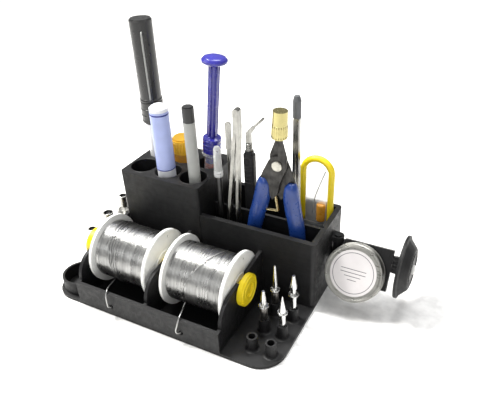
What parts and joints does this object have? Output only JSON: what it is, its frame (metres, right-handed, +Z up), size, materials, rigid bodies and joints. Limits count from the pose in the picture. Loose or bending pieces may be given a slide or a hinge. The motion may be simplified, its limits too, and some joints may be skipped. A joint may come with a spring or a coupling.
{
  "type": "soldering iron stand",
  "caption": "Low bench stand that holds solder spools on a spindle, soldering tips, barrels, pens and hand tools, with a swing-out tin arm.",
  "frame": {"origin": "middle of the base plate's underside, on the bench", "axes": "+Z up, -Y towards the front wall of the spool cradle, +X towards the tin arm"},
  "size_m": [0.235, 0.1169, 0.1752],
  "materials": {
    "black_plastic": "matte printed plastic with fine layer lines",
    "yellow_plastic": "satin",
    "spool_white": "satin",
    "solder": "bright wound wire",
    "tip_metal": "polished",
    "barrel_metal": "brushed",
    "pin_steel": "satin",
    "tin_metal": "satin",
    "label": "paper",
    "button_white": "satin",
    "marker_white": "gloss",
    "marker_black": "gloss",
    "pen_white": "satin",
    "lavender": "satin",
    "liner_grey": "satin",
    "liner_black": "satin",
    "amber": "translucent",
    "amber_cap": "satin",
    "clear": "clear plastic",
    "paste": "wet",
    "blue_plunger": "gloss",
    "tool_dark": "satin",
    "tool_white": "satin",
    "tool_steel": "brushed",
    "black_grip": "matte",
    "tool_grey": "satin",
    "cutter_steel": "blackened",
    "blue_grip": "satin",
    "spring_brass": "satin",
    "brass": "bright"
  },
  "bodies": {
    "stand": {"base_plate": "black_plastic", "spool_cradle": "black_plastic", "pen_block": "black_plastic", "tool_bin": "black_plastic", "arm_pin": "pin_steel", "tail_left": "solder", "tail_right": "solder"},
    "divider": {"bin_divider": "black_plastic"},
    "spindle": {"spindle": "yellow_plastic", "spindle_cap": "yellow_plastic"},
    "left_spool": {"spool_left": "spool_white", "winding_left": "solder"},
    "right_spool": {"spool_right": "spool_white", "winding_right": "solder"},
    "arm": {"arm_bracket": "black_plastic", "arm_magnet": "pin_steel", "dish_pin": "pin_steel"},
    "tin": {"tin_body": "tin_metal"},
    "tin_lid": {"tin_lid": "tin_metal", "tin_label": "label"},
    "dish": {"end_dish": "black_plastic", "dish_button": "button_white"},
    "marker": {"marker_body": "marker_white", "marker_collar": "marker_black"},
    "marker_cap": {"marker_cap": "marker_black"},
    "highlighter": {"highlighter_body": "pen_white", "highlighter_barrel": "lavender", "highlighter_cap": "pen_white"},
    "liner": {"liner_body": "liner_grey"},
    "liner_cap": {"liner_end": "liner_black"},
    "wick": {"wick_tube": "amber"},
    "wick_cap": {"wick_cap": "amber_cap"},
    "syringe": {"syringe_barrel": "clear", "syringe_paste": "paste"},
    "plunger": {"syringe_plunger": "blue_plunger"},
    "scraper": {"scraper_shaft": "tool_dark", "scraper_grip": "tool_white"},
    "straight_tweezers": {"straight_tweezers": "tool_steel"},
    "spatula": {"spatula": "tool_steel"},
    "hook": {"hook_grip": "black_grip", "hook_shank": "tool_steel"},
    "fine_tweezers": {"fine_tweezers": "tool_steel", "fine_cap": "tool_grey"},
    "cutter": {"cutter_left": "cutter_steel", "grip_left": "blue_grip", "cutter_rivet": "pin_steel", "cutter_spring": "spring_brass"},
    "cutter_half": {"cutter_right": "cutter_steel", "grip_right": "blue_grip"},
    "jaw_sleeve": {"jaw_sleeve": "brass"},
    "case": {"case_rim": "yellow_plastic", "case_body": "clear"},
    "tip_bevel": {"tip_bevel": "tip_metal"},
    "tip_long": {"tip_long": "tip_metal"},
    "tip_cone": {"tip_cone": "tip_metal"},
    "tip_knife": {"tip_knife": "tip_metal"},
    "barrel_front": {"barrel_front": "barrel_metal"},
    "barrel_middle": {"barrel_middle": "barrel_metal"},
    "barrel_rear": {"barrel_rear": "barrel_metal"}
  },
  "joints": [
    {"name": "divider_lift", "type": "slide", "parent": "stand", "child": "divider", "axis": [0, 0, 1], "range_m": [0, 0.05]},
    {"name": "spindle_lift", "type": "slide", "parent": "stand", "child": "spindle", "axis": [0, 0, 1], "range_m": [0, 0.05]},
    {"name": "left_spool_spin", "type": "hinge", "parent": "spindle", "child": "left_spool", "pos_m": [0, -0.0225, 0.0285], "axis": [1, 0, 0], "continuous": true},
    {"name": "right_spool_spin", "type": "hinge", "parent": "spindle", "child": "right_spool", "pos_m": [0, -0.0225, 0.0285], "axis": [1, 0, 0], "continuous": true},
    {"name": "tip_bevel_lift", "type": "slide", "parent": "stand", "child": "tip_bevel", "axis": [0, 0, 1], "range_m": [0, 0.012]},
    {"name": "tip_long_lift", "type": "slide", "parent": "stand", "child": "tip_long", "axis": [0, 0, 1], "range_m": [0, 0.012]},
    {"name": "tip_cone_lift", "type": "slide", "parent": "stand", "child": "tip_cone", "axis": [0, 0, 1], "range_m": [0, 0.012]},
    {"name": "tip_knife_lift", "type": "slide", "parent": "stand", "child": "tip_knife", "axis": [0, 0, 1], "range_m": [0, 0.012]},
    {"name": "barrel_front_lift", "type": "slide", "parent": "stand", "child": "barrel_front", "axis": [0, 0, 1], "range_m": [0, 0.02]},
    {"name": "barrel_middle_lift", "type": "slide", "parent": "stand", "child": "barrel_middle", "axis": [0, 0, 1], "range_m": [0, 0.02]},
    {"name": "barrel_rear_lift", "type": "slide", "parent": "stand", "child": "barrel_rear", "axis": [0, 0, 1], "range_m": [0, 0.02]},
    {"name": "arm_swing", "type": "hinge", "parent": "stand", "child": "arm", "pos_m": [0.0923, 0.04, 0.032], "axis": [0, 0, 1], "range_deg": [-2, 90]},
    {"name": "tin_pull", "type": "slide", "parent": "arm", "child": "tin", "axis": [0, -0.8829, 0.4695], "range_m": [0, 0.02]},
    {"name": "tin_lid_pull", "type": "slide", "parent": "tin", "child": "tin_lid", "axis": [0, -0.8829, 0.4695], "range_m": [0, 0.012]},
    {"name": "dish_swivel", "type": "hinge", "parent": "arm", "child": "dish", "pos_m": [0.1339, 0.03578, 0.03305], "axis": [0, 0.4695, 0.8829], "range_deg": [-20, 80]},
    {"name": "marker_lift", "type": "slide", "parent": "stand", "child": "marker", "axis": [0, 0, 1], "range_m": [0, 0.075]},
    {"name": "highlighter_lift", "type": "slide", "parent": "stand", "child": "highlighter", "axis": [0, 0, 1], "range_m": [0, 0.075]},
    {"name": "liner_lift", "type": "slide", "parent": "stand", "child": "liner", "axis": [0, 0, 1], "range_m": [0, 0.075]},
    {"name": "wick_lift", "type": "slide", "parent": "stand", "child": "wick", "axis": [0, 0, 1], "range_m": [0, 0.075]},
    {"name": "syringe_lift", "type": "slide", "parent": "stand", "child": "syringe", "axis": [0.1167, 0, 0.9932], "range_m": [0, 0.04]},
    {"name": "plunger_pull", "type": "slide", "parent": "syringe", "child": "plunger", "axis": [0.1167, 0, 0.9932], "range_m": [0, 0.02]},
    {"name": "marker_cap_pull", "type": "slide", "parent": "marker", "child": "marker_cap", "axis": [0, 0, 1], "range_m": [0, 0.03]},
    {"name": "liner_cap_pull", "type": "slide", "parent": "liner", "child": "liner_cap", "axis": [0, 0, 1], "range_m": [0, 0.015]},
    {"name": "wick_cap_pull", "type": "slide", "parent": "wick", "child": "wick_cap", "axis": [0, 0, 1], "range_m": [0, 0.015]},
    {"name": "scraper_lift", "type": "slide", "parent": "stand", "child": "scraper", "axis": [0, 0, 1], "range_m": [0, 0.052]},
    {"name": "straight_tweezers_lift", "type": "slide", "parent": "stand", "child": "straight_tweezers", "axis": [0, 0, 1], "range_m": [0, 0.052]},
    {"name": "spatula_lift", "type": "slide", "parent": "stand", "child": "spatula", "axis": [0, 0, 1], "range_m": [0, 0.052]},
    {"name": "hook_lift", "type": "slide", "parent": "stand", "child": "hook", "axis": [0, 0, 1], "range_m": [0, 0.052]},
    {"name": "fine_tweezers_lift", "type": "slide", "parent": "stand", "child": "fine_tweezers", "axis": [0, 0, 1], "range_m": [0, 0.052]},
    {"name": "cutter_lift", "type": "slide", "parent": "stand", "child": "cutter", "axis": [0, 0, 1], "range_m": [0, 0.052]},
    {"name": "case_lift", "type": "slide", "parent": "stand", "child": "case", "axis": [0, 0, 1], "range_m": [0, 0.052]},
    {"name": "cutter_pivot", "type": "hinge", "parent": "cutter", "child": "cutter_half", "pos_m": [0.0575, 0.018, 0.1], "axis": [0, 1, 0], "range_deg": [0, 2]},
    {"name": "jaw_sleeve_pull", "type": "slide", "parent": "cutter", "child": "jaw_sleeve", "axis": [0.0436, 0, 0.999], "range_m": [0, 0.02]}
  ]
}
